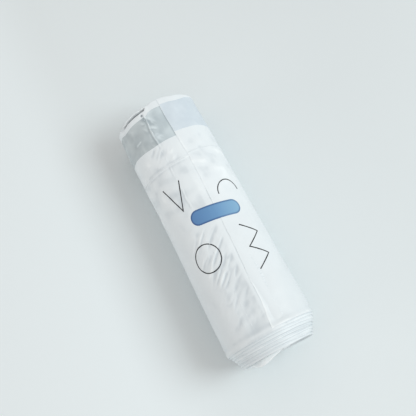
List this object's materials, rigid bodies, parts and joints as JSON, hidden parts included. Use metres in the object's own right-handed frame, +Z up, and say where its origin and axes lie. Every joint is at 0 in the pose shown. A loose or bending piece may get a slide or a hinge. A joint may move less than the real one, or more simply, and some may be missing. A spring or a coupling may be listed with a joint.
{
  "type": "bin bag roll",
  "caption": "Roll of white drawstring bin bags wound without a core, with tapes in the hem, nested folds at one end and a closure sticker.",
  "frame": {"origin": "under the middle of the roll, on the surface it lies on", "axes": "X along the roll, from the hem end at -X to the folded end at +X; Y across it, with the outer free edge's own layer on the +Y side; Z up"},
  "size_m": [0.208, 0.0715, 0.0714],
  "materials": {
    "film": "white translucent polyethylene film, satin, softly creased",
    "tape_light": "pale blue-grey tape seen through two layers of film",
    "tape_dark": "grey-green tape seen through one layer of film",
    "sticker": "glossy blue label, darker at one end",
    "ink": "matt black printed line"
  },
  "bodies": {
    "root": {"film_roll": "film", "drawstring_tape_front": "tape_light", "drawstring_tape_back": "tape_dark", "closure_sticker": "sticker", "printed_lines": "ink"}
  },
  "joints": []
}
